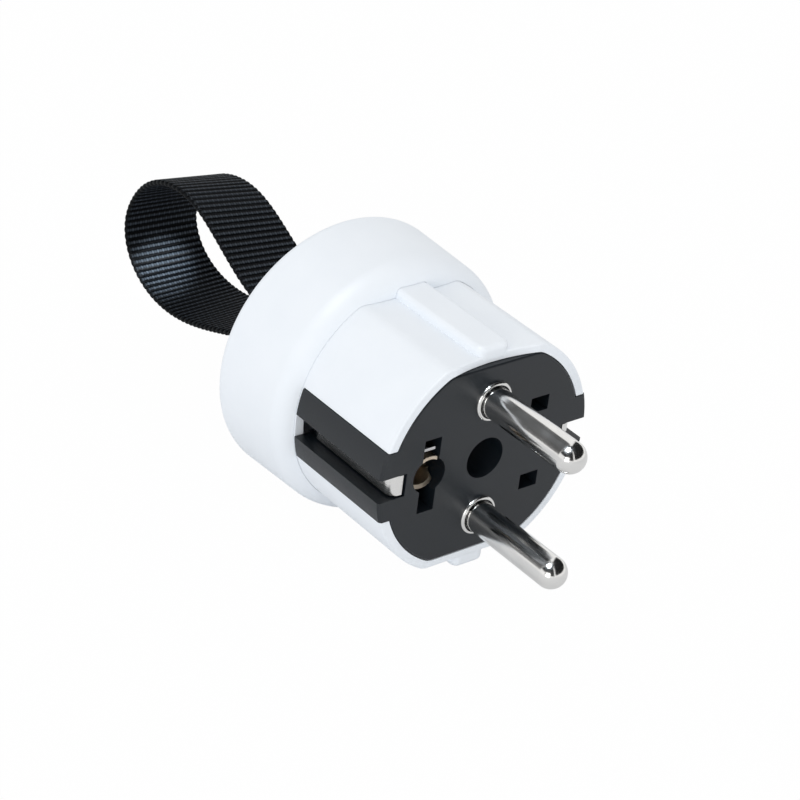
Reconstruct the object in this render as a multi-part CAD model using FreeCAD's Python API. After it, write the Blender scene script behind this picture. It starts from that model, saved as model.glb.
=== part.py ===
"""A mains plug of the type E/F pattern with a webbing loop for pulling it out.

Millimetres. The origin is the middle of the engagement face. The pins point to -Y, the cap is
towards +Y, +Z runs along the line of the two pins and the earth hole is at -X.
"""
import FreeCAD, Part
import math
import os

from FreeCAD import Vector

# Gaps between pieces
FIT = 0.10
SEAT = 0.05

# Live pins
PIN_PITCH = 19.0
PIN_DIA = 4.8
PIN_LENGTH = 19.0
PIN_RING_DIA = 6.2
PIN_RING_HEIGHT = 0.6
PILLAR_DIA = 7.2
PILLAR_LENGTH = 8.0
PILLAR_EDGE = 0.4
WIRE_HOLE_DIA = 3.0

# Pin carrier: the black insert
FACE_RADIUS = 17.1
FACE_FLAT_DEPTH = 1.9
OUTLINE_CORNER = 3.0
FACE_THICK = 3.2
FACE_EDGE = 0.3
CARRIER_WALL = 1.4
CARRIER_DEPTH = 18.0
PIN_BOSS_DIA = 8.8
PIN_BOSS_END = 9.5
COLUMN_DIA = 10.0
SCREW_SINK_DIA = 6.5
SCREW_SINK_DEPTH = 9.0
CORE_SLOT_OUT = 9.1
CORE_SLOT_UP = 6.4
CORE_SLOT_WIDTH = 3.3
CORE_SLOT_HEIGHT = 2.5
WEB_THICK = 1.6

# Side rails with the earth channel between them
RAIL_STEP = 0.2
RAIL_DEPTH = 5.2
RAIL_SPAN = 5.6
RAIL_EDGE = 0.35
CHANNEL_WIDTH = 3.7
CHANNEL_SET = -0.3
NOTCH_DEPTH = 4.7

# Front shell: the white sleeve
RIM_SET = 0.1
RIM_DIP = 1.0
RIM_DIP_HALF = 7.8
SHELL_WALL = 1.4
SHELL_FLAT_WALL = 1.2
SHELL_RIM_EDGE = 0.3
KEY_WIDTH = 5.6
KEY_HEIGHT = 1.4
KEY_CORNER = 1.3
KEY_EDGE = 0.8
KEY_FRONT = 0.85
LOWER_KEY_HEIGHT = 1.9
LOWER_KEY_FRONT = 0.15
RAIL_END = 20.0
SHELL_INSERTION = 2.3

# Rear cover: the cap
COVER_FRONT = 20.0
COVER_LENGTH = 16.4
COVER_STEP = 2.2
COVER_FLARE = 0.4
COVER_FRONT_FILLET = 3.8
COVER_REAR_FILLET = 1.2
COVER_WALL = 2.9
COVER_BACK = 2.5
COVER_BOSS_DIA = 9.2
COVER_BOSS_CAP = 1.2
BOSS_LEG_WIDTH = 7.0
BOSS_LEG_THICK = 2.2
BOSS_LEG_SET = 2.0

# Earth parts
EARTH_OFFSET = 10.0
EARTH_HOLE_DIA = 5.6
EARTH_SLOT_WIDTH = 2.9
EARTH_SLOT_LENGTH = 12.0
EARTH_LIP = 0.25
CHAMBER_GAP = 0.35
CHAMBER_WALL = 1.1
CHAMBER_OVER = 1.5
EARTH_SOCKET_BORE = 4.9
EARTH_SOCKET_WALL = 0.5
EARTH_SOCKET_LENGTH = 11.2
EARTH_SOCKET_ROUND = 3.4
EARTH_SOCKET_SPLIT = 2.4
SOCKET_TONGUE_WIDTH = 2.6
SOCKET_LEAF_START = 1.5
SOCKET_LEAF_RADIUS = 4.2
SOCKET_LEAF_HALF = 1.95
SOCKET_LEAF_SLANT = 30.0
EARTH_SOCKET_RING = 1.6
EARTH_SOCKET_CONE = 1.0
EARTH_STEM_DIA = 3.6
EARTH_TAIL_STEP = 0.3
RIVET_OVER = 0.4
RIVET_HEIGHT = 0.8
SPRING_THICK = 0.45
SPRING_WIDTH = 1.9
SPRING_SET = 0.25
SPRING_TOUCH = 5.0
SPRING_OPEN = 1.05
SPRING_SHORT = 4.5
SPRING_EYE_WALL = 0.9
BOW_THICK = 0.8
BOW_GAP = 0.25
BOW_RECESS = 2.4
BOW_BEND = 1.6
BOW_LIP_LENGTH = 1.9
BOW_FRONT = 0.2
BOW_BACK = 19.0
BOW_RING_DIA = 9.2
EARTH_TERMINAL_OUT = 9.0
EARTH_TERMINAL_DIA = 6.4
NECK_WALL = 0.9
NECK_DEPTH = 1.2
BOW_EYE_WALL = 1.0

# Screws
HOUSING_SCREW_DIA = 4.0
HOUSING_SCREW_LENGTH = 18.0
HOUSING_HEAD_DIA = 5.8
HOUSING_HEAD_HEIGHT = 2.2
SCREW_WASHER_THICK = 0.5
INSERT_DIA = 6.0
INSERT_LENGTH = 8.0
TERMINAL_SCREW_DIA = 3.5
TERMINAL_HEAD_DIA = 5.2
TERMINAL_HEAD_HEIGHT = 1.8
TERMINAL_SCREW_LENGTH = 5.0
CLAMP_WASHER_SIDE = 6.2
CLAMP_WASHER_THICK = 0.8
SLOT_WIDTH = 0.8
SLOT_DEPTH = 0.9

# Cord inlet and grip: the cord itself isn't part of the plug
CORD_DIA = 8.0
INLET_BACK = 8.2
GROMMET_WALL = 1.0
GROMMET_LIP = 0.4
GROMMET_LIP_WIDTH = 0.9
GROMMET_PROUD = 0.3
GROMMET_EDGE = 0.4
CLAMP_SET = 5.8
CLAMP_WIDTH = 5.0
CLAMP_THICK = 1.6
CLAMP_NIP = 0.2
CLAMP_RIB_WIDTH = 1.0
CLAMP_RIB_HEIGHT = 0.6
CLAMP_SCREW_SPACE = 2.1
CLAMP_SCREW_BITE = 6.5
CLAMP_BORE_SPARE = 1.5
SADDLE_DEPTH = 0.3
CLAMP_SCREW_DIA = 3.0
CLAMP_HEAD_DIA = 5.0
CLAMP_HEAD_HEIGHT = 1.8
CLAMP_BOSS_DIA = 5.2

# Webbing loop and the cross pin that holds it
STRAP_WIDTH = 13.0
STRAP_THICK = 0.75
STRAP_RIB = 0.1
STRAP_RIB_PITCH = 1.1
STRAP_REACH = 53.0
STRAP_HALF = 10.2
STRAP_FLARE = 0.6
STRAP_SHAPE = (
    (0.240, 0.195), (0.377, 0.365), (0.536, 0.767), (0.673, 1.033), (0.869, 0.846), (0.959, 0.393),
    (0.992, -0.172), (0.964, -0.541), (0.878, -0.864), (0.801, -0.960), (0.588, -0.835),
    (0.395, -0.502), (0.250, -0.290),
)
STRAP_PIN_DIA = 3.0
STRAP_PIN_BACK = 4.8
STRAP_PIN_EDGE = 0.3
CRADLE_WALL = 1.6
CRADLE_HEIGHT = 9.7
CRADLE_FRONT = 0.8
STRAP_GAP = 0.45

# Worked out from the sizes above
PIN_UP = PIN_PITCH / 2
PIN_RADIUS = PIN_DIA / 2
FACE_FLAT = FACE_RADIUS - FACE_FLAT_DEPTH
SHELL_RADIUS = FACE_RADIUS + FIT + SHELL_WALL
SHELL_FLAT = FACE_FLAT + FIT + SHELL_FLAT_WALL
RAIL_OUT_RADIUS = SHELL_RADIUS + RAIL_STEP
RAIL_IN = RAIL_OUT_RADIUS - RAIL_DEPTH
NOTCH_IN = RAIL_OUT_RADIUS - NOTCH_DEPTH
BOW_SIDE = RAIL_OUT_RADIUS - BOW_RECESS
BOW_LIP = BOW_SIDE - BOW_LIP_LENGTH
RIM_DIP_RADIUS = (RIM_DIP_HALF ** 2 + RIM_DIP ** 2) / (2 * RIM_DIP)
COVER_FRONT_RADIUS = SHELL_RADIUS + COVER_STEP
COVER_REAR_RADIUS = COVER_FRONT_RADIUS + COVER_FLARE
COVER_BACK_FACE = COVER_FRONT + COVER_LENGTH
COVER_INSIDE = COVER_BACK_FACE - COVER_BACK
COVER_ROOM = COVER_REAR_RADIUS - COVER_WALL
CLAMP_OUT = COVER_ROOM - CLAMP_SET
SHELL_END = RAIL_END + FIT + SHELL_INSERTION
KEY_TOP = SHELL_FLAT + KEY_HEIGHT
LOWER_KEY_TOP = SHELL_FLAT + LOWER_KEY_HEIGHT
BOW_INSIDE = BOW_BACK - BOW_THICK
CHANNEL_FLOOR = BOW_SIDE - BOW_THICK - SEAT
CHANNEL_LOW = CHANNEL_SET - CHANNEL_WIDTH / 2
CHANNEL_HIGH = CHANNEL_SET + CHANNEL_WIDTH / 2
BOW_HALF = CHANNEL_WIDTH / 2 - BOW_GAP
COLUMN_END = BOW_INSIDE - SEAT
BOSS_FRONT = BOW_BACK + 2 * FIT
INSERT_FRONT = BOSS_FRONT + SEAT
BOSS_END = INSERT_FRONT + INSERT_LENGTH + COVER_BOSS_CAP
STRAP_PIN_Y = COVER_BACK_FACE - STRAP_PIN_BACK
STRAP_PIN_RADIUS = STRAP_PIN_DIA / 2
STRAP_WRAP = STRAP_PIN_RADIUS + SEAT + STRAP_RIB + STRAP_THICK / 2
SLOT_HALF_Z = STRAP_WRAP + STRAP_THICK / 2 + STRAP_RIB + STRAP_GAP
SLOT_HALF_X = STRAP_WIDTH / 2 + STRAP_GAP
INLET_Y = COVER_BACK_FACE - INLET_BACK
CLAMP_FRONT = INLET_Y - CORD_DIA / 2 + CLAMP_NIP
CLAMP_SCREW_UP = CORD_DIA / 2 + CLAMP_SCREW_DIA / 2 + CLAMP_SCREW_SPACE
SOCKET_OUT = EARTH_SOCKET_BORE / 2 + EARTH_SOCKET_WALL
SOCKET_FRONT = EARTH_LIP + SEAT
SOCKET_END = SOCKET_FRONT + EARTH_SOCKET_LENGTH
CHAMBER_IN = SOCKET_OUT + CHAMBER_GAP


def cylinder(radius, start, end, x=0.0, z=0.0):
    """A cylinder along Y from start to end."""
    return Part.makeCylinder(radius, end - start, Vector(x, start, z), Vector(0, 1, 0))


def cross_cylinder(radius, start, end, y=0.0, z=0.0):
    """A cylinder along X from start to end."""
    return Part.makeCylinder(radius, end - start, Vector(start, y, z), Vector(1, 0, 0))


def box(x0, x1, y0, y1, z0, z1):
    """A box between two corners."""
    return Part.makeBox(x1 - x0, y1 - y0, z1 - z0, Vector(x0, y0, z0))


def fuse(shapes):
    """One clean solid from several that meet."""
    whole = shapes[0]
    for shape in shapes[1:]:
        whole = whole.fuse(shape)
    return whole.removeSplitter()


def cut(shape, tools):
    """The shape less each tool."""
    for tool in tools:
        shape = shape.cut(tool)
    return shape


def edges_at(shape, y):
    """The edges that lie in one plane across Y."""
    return [e for e in shape.Edges if abs(e.BoundBox.YMax - y) < 0.01 and abs(e.BoundBox.YMin - y) < 0.01]


def revolve_about_y(points, arcs=()):
    """A solid of revolution about Y. Points are (radius, y); arcs gives some segments a middle point."""
    edges = []
    count = len(points)
    for i in range(count):
        a = Vector(points[i][0], points[i][1], 0)
        b = Vector(points[(i + 1) % count][0], points[(i + 1) % count][1], 0)
        if i in arcs:
            middle = Vector(arcs[i][0], arcs[i][1], 0)
            edges.append(Part.Arc(a, middle, b).toShape())
        else:
            edges.append(Part.LineSegment(a, b).toShape())
    face = Part.Face(Part.Wire(edges))
    return face.revolve(Vector(0, 0, 0), Vector(0, 1, 0), 360)


def outline_prism(radius, flat, start, end):
    """The plug's outline, a circle with a flat at the top and at the bottom, extruded along Y."""
    half = math.sqrt(radius ** 2 - flat ** 2)
    corners = [Vector(half, start, flat), Vector(half, start, -flat),
               Vector(-half, start, -flat), Vector(-half, start, flat)]
    edges = [
        Part.Arc(corners[0], Vector(radius, start, 0), corners[1]).toShape(),
        Part.LineSegment(corners[1], corners[2]).toShape(),
        Part.Arc(corners[2], Vector(-radius, start, 0), corners[3]).toShape(),
        Part.LineSegment(corners[3], corners[0]).toShape(),
    ]
    prism = Part.Face(Part.Wire(edges)).extrude(Vector(0, end - start, 0))
    upright = [e for e in prism.Edges if e.BoundBox.YLength > abs(end - start) / 2]
    return prism.makeFillet(OUTLINE_CORNER, upright)


def key_block(width, top, start, end, corner, edge):
    """A raised key on the upper flat: rounded front corners, and a softened crest."""
    base = SHELL_FLAT - SHELL_FLAT_WALL / 2
    block = box(-width / 2, width / 2, start, end, base, top)
    if corner > 0:
        upright = [e for e in block.Edges
                   if abs(e.tangentAt(e.FirstParameter).z) > 0.99 and e.BoundBox.YMax < start + 0.01]
        block = block.makeFillet(corner, upright)
    if edge > 0:
        crest = [e for e in block.Edges
                 if e.BoundBox.ZMin > top - 0.01 and e.BoundBox.YMin < end - 0.01]
        block = block.makeFillet(edge, crest)
    return block


def mirror_z(shape):
    """The shape mirrored to the other side of the pin line's middle."""
    return shape.mirror(Vector(0, 0, 0), Vector(0, 0, 1))


def mirror_x(shape):
    """The shape mirrored to the other side in X."""
    return shape.mirror(Vector(0, 0, 0), Vector(1, 0, 0))


def slotted_screw(shank_radius, shank_length, head_radius, head_height, seat_y, x, z, head_towards):
    """A cheese-head screw along Y. head_towards is +1 or -1, the side of the seat that the head is on."""
    crown = seat_y + head_towards * head_height
    tip = seat_y - head_towards * shank_length
    head = cylinder(head_radius, min(seat_y, crown), max(seat_y, crown), x, z)
    head = head.makeFillet(head_height * 0.25, edges_at(head, crown))
    shank = cylinder(shank_radius, min(seat_y, tip), max(seat_y, tip), x, z)
    shank = shank.makeChamfer(shank_radius * 0.2, edges_at(shank, tip))
    groove_floor = crown - head_towards * SLOT_DEPTH
    groove = box(x - SLOT_WIDTH / 2, x + SLOT_WIDTH / 2, min(groove_floor, crown), max(groove_floor, crown),
                 z - head_radius - 1, z + head_radius + 1)
    return fuse([head, shank]).cut(groove)


def rear_cover():
    """The cap: a turned outer form, hollow, with the boss, the strap's seat and the cord's grip seats."""
    f, g = COVER_FRONT_FILLET, COVER_REAR_FILLET
    front_centre = (COVER_FRONT_RADIUS - f, COVER_FRONT + f)
    rear_centre = (COVER_REAR_RADIUS - g, COVER_BACK_FACE - g)
    s = math.sqrt(0.5)
    outer = revolve_about_y(
        [(0, COVER_FRONT), (front_centre[0], COVER_FRONT), (COVER_FRONT_RADIUS, front_centre[1]),
         (COVER_REAR_RADIUS, rear_centre[1]), (rear_centre[0], COVER_BACK_FACE), (0, COVER_BACK_FACE)],
        {1: (front_centre[0] + f * s, front_centre[1] - f * s),
         3: (rear_centre[0] + g * s, rear_centre[1] + g * s)})
    wide = KEY_WIDTH + 2 * SEAT
    edge = KEY_EDGE + SEAT
    upper_hole = key_block(wide, KEY_TOP + SEAT, COVER_FRONT - 1, SHELL_END + FIT, 0, edge)
    lower_hole = mirror_z(key_block(wide, LOWER_KEY_TOP + SEAT, COVER_FRONT - 1, SHELL_END + FIT, 0, edge))
    mouth = fuse([outline_prism(SHELL_RADIUS + SEAT, SHELL_FLAT + SEAT, COVER_FRONT - 1, SHELL_END + FIT),
                  upper_hole, lower_hole])
    room = cylinder(COVER_ROOM, SHELL_END + FIT, COVER_INSIDE)
    shell = cut(outer, [mouth, room])

    boss = cylinder(COVER_BOSS_DIA / 2, BOSS_FRONT, BOSS_END)
    leg = box(-BOSS_LEG_WIDTH / 2, BOSS_LEG_WIDTH / 2, BOSS_FRONT + BOSS_LEG_SET, COVER_INSIDE + 0.5,
              SLOT_HALF_Z, SLOT_HALF_Z + BOSS_LEG_THICK)
    cradle = box(SLOT_HALF_X, SLOT_HALF_X + CRADLE_WALL, STRAP_PIN_Y - STRAP_PIN_RADIUS - CRADLE_FRONT,
                 COVER_INSIDE + 0.5, -CRADLE_HEIGHT / 2, CRADLE_HEIGHT / 2)
    clamp_boss = cylinder(CLAMP_BOSS_DIA / 2, CLAMP_FRONT, COVER_INSIDE + 0.5, CLAMP_OUT, CLAMP_SCREW_UP)
    saddle = box(CLAMP_OUT - CLAMP_WIDTH / 2, CLAMP_OUT + CLAMP_WIDTH / 2, INLET_Y + CORD_DIA * SADDLE_DEPTH,
                 COVER_INSIDE + 0.5, -CORD_DIA / 2, CORD_DIA / 2)
    saddle = saddle.cut(cross_cylinder(CORD_DIA / 2 + FIT, 0, COVER_REAR_RADIUS, INLET_Y))
    body = fuse([shell, boss, leg, mirror_z(leg), cradle, mirror_x(cradle),
                 clamp_boss, mirror_z(clamp_boss), saddle])

    insert_bore = cylinder(INSERT_DIA / 2 + SEAT / 2, BOSS_FRONT - 1, INSERT_FRONT + INSERT_LENGTH + SEAT)
    slot = box(-SLOT_HALF_X, SLOT_HALF_X, COVER_INSIDE - 1, COVER_BACK_FACE + 1, -SLOT_HALF_Z, SLOT_HALF_Z)
    pin_reach = SLOT_HALF_X + CRADLE_WALL + 1
    pin_way_half = STRAP_PIN_RADIUS + SEAT
    pin_seat = cross_cylinder(pin_way_half, -pin_reach, pin_reach, STRAP_PIN_Y)
    pin_way = box(-pin_reach, pin_reach, BOSS_END, STRAP_PIN_Y, -pin_way_half, pin_way_half)
    inlet = cross_cylinder(CORD_DIA / 2 + GROMMET_WALL + SEAT, CLAMP_OUT + 2, COVER_REAR_RADIUS + 2, INLET_Y)
    screw_bore = cylinder(CLAMP_SCREW_DIA / 2 + SEAT, CLAMP_FRONT - 1,
                          CLAMP_FRONT + CLAMP_SCREW_BITE + CLAMP_BORE_SPARE, CLAMP_OUT, CLAMP_SCREW_UP)
    return cut(body, [insert_bore, slot, pin_seat, pin_way, inlet, screw_bore, mirror_z(screw_bore)])


def front_shell():
    """The white sleeve: two flats with keys, a rim that dips at the upper flat, and slots for the rails."""
    outer = outline_prism(SHELL_RADIUS, SHELL_FLAT, RIM_SET, SHELL_END)
    dip = Part.makeCylinder(RIM_DIP_RADIUS, SHELL_RADIUS + 1, Vector(0, RIM_DIP - RIM_DIP_RADIUS, 0),
                            Vector(0, 0, 1))
    outer = outer.cut(dip)
    rim = [e for e in outer.Edges if e.BoundBox.YMax < RIM_DIP + 0.01]
    outer = outer.makeFillet(SHELL_RIM_EDGE, rim)
    upper_key = key_block(KEY_WIDTH, KEY_TOP, KEY_FRONT, SHELL_END, KEY_CORNER, KEY_EDGE)
    lower_key = key_block(KEY_WIDTH, LOWER_KEY_TOP, LOWER_KEY_FRONT, SHELL_END, KEY_CORNER, KEY_EDGE)
    whole = fuse([outer, upper_key, mirror_z(lower_key)])
    bore = outline_prism(FACE_RADIUS + FIT, FACE_FLAT + FIT, -1, SHELL_END + 1)
    rail_way = box(-SHELL_RADIUS - 1, SHELL_RADIUS + 1, -1, RAIL_END + FIT,
                   -RAIL_SPAN - FIT, RAIL_SPAN + FIT)
    return cut(whole, [bore, rail_way])


def side_rails():
    """The block at -X that carries both rails, before its channel is cut."""
    block = box(-RAIL_OUT_RADIUS - 1, -RAIL_IN, 0, RAIL_END, -RAIL_SPAN, RAIL_SPAN)
    block = block.common(cylinder(RAIL_OUT_RADIUS, -1, RAIL_END + 1))
    front = [e for e in block.Edges if e.BoundBox.YMax < 0.01 and e.BoundBox.XMax < -RAIL_IN - 2]
    return block.makeChamfer(RAIL_EDGE, front)


def pin_carrier():
    """The black insert: face, skirt, pin bosses, screw column, earth chamber and the side rails."""
    face = outline_prism(FACE_RADIUS, FACE_FLAT, 0, FACE_THICK)
    rim = [e for e in face.Edges if e.BoundBox.YMax < 0.01]
    face = face.makeFillet(FACE_EDGE, rim)
    skirt = outline_prism(FACE_RADIUS, FACE_FLAT, FACE_THICK - 0.5, CARRIER_DEPTH)
    hollow = outline_prism(FACE_RADIUS - CARRIER_WALL, FACE_FLAT - CARRIER_WALL, FACE_THICK - 1,
                           CARRIER_DEPTH + 1)
    skirt = skirt.cut(hollow)
    rails = side_rails()
    pin_boss = cylinder(PIN_BOSS_DIA / 2, FACE_THICK - 0.5, PIN_BOSS_END, 0, PIN_UP)
    column = cylinder(COLUMN_DIA / 2, FACE_THICK - 0.5, COLUMN_END)
    chamber = cylinder(CHAMBER_IN + CHAMBER_WALL, FACE_THICK - 0.5, SOCKET_END + CHAMBER_OVER,
                       -EARTH_OFFSET, 0)
    web = box(-WEB_THICK / 2, WEB_THICK / 2, FACE_THICK - 0.5, PIN_BOSS_END,
              -FACE_FLAT + CARRIER_WALL / 2, FACE_FLAT - CARRIER_WALL / 2)
    body = fuse([face, skirt, rails, mirror_x(rails), pin_boss, mirror_z(pin_boss), column, chamber, web])

    slot_half = EARTH_SLOT_WIDTH / 2
    earth_slot = box(-EARTH_OFFSET - slot_half, -EARTH_OFFSET + slot_half, -1, SOCKET_END + CHAMBER_OVER + 1,
                     -EARTH_SLOT_LENGTH / 2, EARTH_SLOT_LENGTH / 2)
    core_slot = box(CORE_SLOT_OUT - CORE_SLOT_WIDTH / 2, CORE_SLOT_OUT + CORE_SLOT_WIDTH / 2,
                    -1, FACE_THICK + 1,
                    CORE_SLOT_UP - CORE_SLOT_HEIGHT / 2, CORE_SLOT_UP + CORE_SLOT_HEIGHT / 2)
    channel = box(-RAIL_OUT_RADIUS - 2, -CHANNEL_FLOOR, -1, RAIL_END + 1, CHANNEL_LOW, CHANNEL_HIGH)
    notch = box(-RAIL_OUT_RADIUS - 2, -NOTCH_IN, -1, BOW_FRONT + BOW_BEND + SEAT, CHANNEL_LOW, CHANNEL_HIGH)
    bow_way = box(-RAIL_OUT_RADIUS - 2, -RAIL_IN + 1, BOW_BACK - BOW_BEND - SEAT, RAIL_END + 1,
                  CHANNEL_LOW, CHANNEL_HIGH)
    pin_bore = cylinder(PIN_RADIUS + SEAT / 2, -1, PIN_BOSS_END + 1, 0, PIN_UP)
    tools = [
        cylinder(SCREW_SINK_DIA / 2, -1, SCREW_SINK_DEPTH),
        cylinder(HOUSING_SCREW_DIA / 2 + FIT, -1, COLUMN_END + 1),
        cylinder(EARTH_HOLE_DIA / 2, -1, FACE_THICK, -EARTH_OFFSET, 0),
        cylinder(CHAMBER_IN, EARTH_LIP, SOCKET_END + CHAMBER_OVER + 1, -EARTH_OFFSET, 0),
        earth_slot, core_slot, mirror_z(core_slot), pin_bore, mirror_z(pin_bore),
    ]
    for tool in (channel, notch, bow_way):
        tools.append(tool)
        tools.append(mirror_x(tool))
    return cut(body, tools)


def live_pin():
    """The upper pin: rounded tip, ring on the face, plain shank in the boss, pillar with wire hole behind."""
    tip = PIN_LENGTH - PIN_RADIUS
    s = math.sqrt(0.5)
    soft = PIN_RING_HEIGHT * 0.6
    ring = PIN_RING_DIA / 2
    pillar_end = PIN_BOSS_END + PILLAR_LENGTH
    edge = PILLAR_EDGE
    profile = revolve_about_y(
        [(0, -PIN_LENGTH), (PIN_RADIUS, -tip), (PIN_RADIUS, -PIN_RING_HEIGHT),
         (ring - soft, -PIN_RING_HEIGHT), (ring, -PIN_RING_HEIGHT + soft), (ring, 0), (PIN_RADIUS, 0),
         (PIN_RADIUS, PIN_BOSS_END),
         (PILLAR_DIA / 2, PIN_BOSS_END), (PILLAR_DIA / 2, pillar_end - edge),
         (PILLAR_DIA / 2 - edge, pillar_end), (0, pillar_end)],
        {0: (PIN_RADIUS * s, -tip - PIN_RADIUS * s),
         3: (ring - soft + soft * s, -PIN_RING_HEIGHT + soft - soft * s)})
    wire_hole = cross_cylinder(WIRE_HOLE_DIA / 2, -PILLAR_DIA, PILLAR_DIA, PIN_BOSS_END + PILLAR_LENGTH / 2)
    thread = cylinder(TERMINAL_SCREW_DIA / 2 + SEAT, pillar_end - TERMINAL_SCREW_LENGTH - SEAT,
                      pillar_end + 1)
    pin = cut(profile, [wire_hole, thread])
    pin.translate(Vector(0, 0, PIN_UP))
    return pin


def terminal_screw(seat_y, x, z):
    """A slotted terminal screw with its head to the back."""
    return slotted_screw(TERMINAL_SCREW_DIA / 2, TERMINAL_SCREW_LENGTH, TERMINAL_HEAD_DIA / 2,
                         TERMINAL_HEAD_HEIGHT, seat_y, x, z, 1)


def earth_bow():
    """One strip bent to a U: its ends are the side contacts, its middle carries the earth terminal."""
    mid = BOW_THICK / 2
    side = BOW_SIDE - mid
    back = BOW_BACK - mid
    bend = BOW_BEND - mid
    front = BOW_FRONT + mid
    lip = BOW_LIP

    def half_strip(offset):
        """Edges of one side of the strip, offset outwards from its middle line."""
        r = bend + offset
        s = math.sqrt(0.5)
        c_front = (-side + bend, front + bend)
        c_back = (-side + bend, back - bend)
        points = [
            (-lip, front - offset), (c_front[0], front - offset),
            (c_front[0] - r * s, c_front[1] - r * s), (-side - offset, c_front[1]),
            (-side - offset, c_back[1]), (c_back[0] - r * s, c_back[1] + r * s),
            (c_back[0], back + offset), (0.0, back + offset)]
        return [Vector(x, y, CHANNEL_SET - BOW_HALF) for x, y in points]

    out = half_strip(mid)
    inn = half_strip(-mid)
    edges = []
    if abs(out[0].x - out[1].x) > 1e-6:
        edges.append(Part.LineSegment(out[0], out[1]).toShape())
    edges.append(Part.Arc(out[1], out[2], out[3]).toShape())
    edges.append(Part.LineSegment(out[3], out[4]).toShape())
    edges.append(Part.Arc(out[4], out[5], out[6]).toShape())
    edges.append(Part.LineSegment(out[6], out[7]).toShape())
    edges.append(Part.LineSegment(out[7], inn[7]).toShape())
    edges.append(Part.LineSegment(inn[7], inn[6]).toShape())
    edges.append(Part.Arc(inn[6], inn[5], inn[4]).toShape())
    edges.append(Part.LineSegment(inn[4], inn[3]).toShape())
    edges.append(Part.Arc(inn[3], inn[2], inn[1]).toShape())
    if abs(inn[0].x - inn[1].x) > 1e-6:
        edges.append(Part.LineSegment(inn[1], inn[0]).toShape())
    edges.append(Part.LineSegment(inn[0], out[0]).toShape())
    strip = Part.Face(Part.Wire(edges)).extrude(Vector(0, 0, 2 * BOW_HALF))
    ring = cylinder(BOW_RING_DIA / 2, BOW_INSIDE, BOW_BACK)
    terminal = cylinder(EARTH_TERMINAL_DIA / 2, BOW_INSIDE, BOW_BACK, EARTH_TERMINAL_OUT, 0)
    neck = cylinder(TERMINAL_SCREW_DIA / 2 + NECK_WALL, BOW_INSIDE - NECK_DEPTH, BOW_INSIDE,
                    EARTH_TERMINAL_OUT, 0)
    socket_seat = cylinder(EARTH_STEM_DIA / 2 + BOW_EYE_WALL, BOW_INSIDE, BOW_BACK, -EARTH_OFFSET, 0)
    whole = fuse([strip, mirror_x(strip), ring, terminal, neck, socket_seat])
    return cut(whole, [
        cylinder(HOUSING_SCREW_DIA / 2 + 2 * FIT, BOW_INSIDE - 1, BOW_BACK + 1),
        cylinder(TERMINAL_SCREW_DIA / 2 + SEAT, BOW_INSIDE - NECK_DEPTH - 1, BOW_BACK + 1,
                 EARTH_TERMINAL_OUT, 0),
        cylinder(EARTH_STEM_DIA / 2 - EARTH_TAIL_STEP, BOW_INSIDE - 1, BOW_BACK + 1, -EARTH_OFFSET, 0)])


def earth_socket():
    """The split sleeve for the wall's earth pin, on a stem riveted through the bow."""
    bore = EARTH_SOCKET_BORE / 2
    out = SOCKET_OUT
    end = SOCKET_END
    floor = end - EARTH_SOCKET_RING / 2
    stem = EARTH_STEM_DIA / 2
    tail = stem - EARTH_TAIL_STEP - SEAT / 2
    head = stem + RIVET_OVER
    rivet = BOW_BACK + RIVET_HEIGHT
    sleeve = revolve_about_y(
        [(bore, EARTH_SOCKET_ROUND), (out, EARTH_SOCKET_ROUND), (out, end), (stem, end + EARTH_SOCKET_CONE),
         (stem, BOW_INSIDE), (tail, BOW_INSIDE), (tail, BOW_BACK), (head, BOW_BACK), (tail, rivet),
         (0, rivet), (0, floor), (bore, floor)])
    split = box(-out - 1, out + 1, SOCKET_FRONT - 1, end - EARTH_SOCKET_RING,
                -EARTH_SOCKET_SPLIT / 2, EARTH_SOCKET_SPLIT / 2)
    tongue = cut(cylinder(out, SOCKET_FRONT, EARTH_SOCKET_ROUND), [cylinder(bore, 0, EARTH_SOCKET_ROUND + 1)])
    tongue = tongue.common(box(-SOCKET_TONGUE_WIDTH / 2, SOCKET_TONGUE_WIDTH / 2, 0, end, 0, out + 1))
    leaf = socket_leaf()
    room = cylinder(SOCKET_OUT + CHAMBER_GAP - SEAT, 0, end)
    sleeve = fuse([sleeve.cut(split), tongue, leaf.common(room)])
    sleeve.translate(Vector(-EARTH_OFFSET, 0, 0))
    return sleeve


def leaf_section(y, radius, half, wall):
    """A band with a round inner edge whose lowest point is on the sleeve's bore."""
    centre = radius - EARTH_SOCKET_BORE / 2
    slope = math.asin(half / radius)
    rings = []
    for r in (radius, radius + wall):
        rings.append([Vector(r * math.sin(a), y, centre - r * math.cos(a)) for a in (-slope, 0, slope)])
    (a0, a1, a2), (b0, b1, b2) = rings
    return Part.Wire([Part.Arc(a0, a1, a2).toShape(), Part.LineSegment(a2, b2).toShape(),
                      Part.Arc(b2, b1, b0).toShape(), Part.LineSegment(b0, a0).toShape()])


def socket_leaf():
    """The lower lip of the sleeve, which opens out from the round part to a flatter curve at the front."""
    bore = EARTH_SOCKET_BORE / 2
    half = math.sqrt(bore ** 2 - (EARTH_SOCKET_SPLIT / 2) ** 2)
    front = leaf_section(SOCKET_LEAF_START, SOCKET_LEAF_RADIUS, SOCKET_LEAF_HALF, EARTH_SOCKET_WALL)
    root = leaf_section(EARTH_SOCKET_ROUND, bore, half, EARTH_SOCKET_WALL)
    leaf = Part.makeLoft([front, root], True, True)
    reach = EARTH_SOCKET_BORE
    slant = box(-reach, reach, SOCKET_LEAF_START - 2 * reach, SOCKET_LEAF_START, -2 * reach, 2 * reach)
    slant.rotate(Vector(0, SOCKET_LEAF_START, -SOCKET_OUT), Vector(1, 0, 0), -SOCKET_LEAF_SLANT)
    return leaf.cut(slant)


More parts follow.
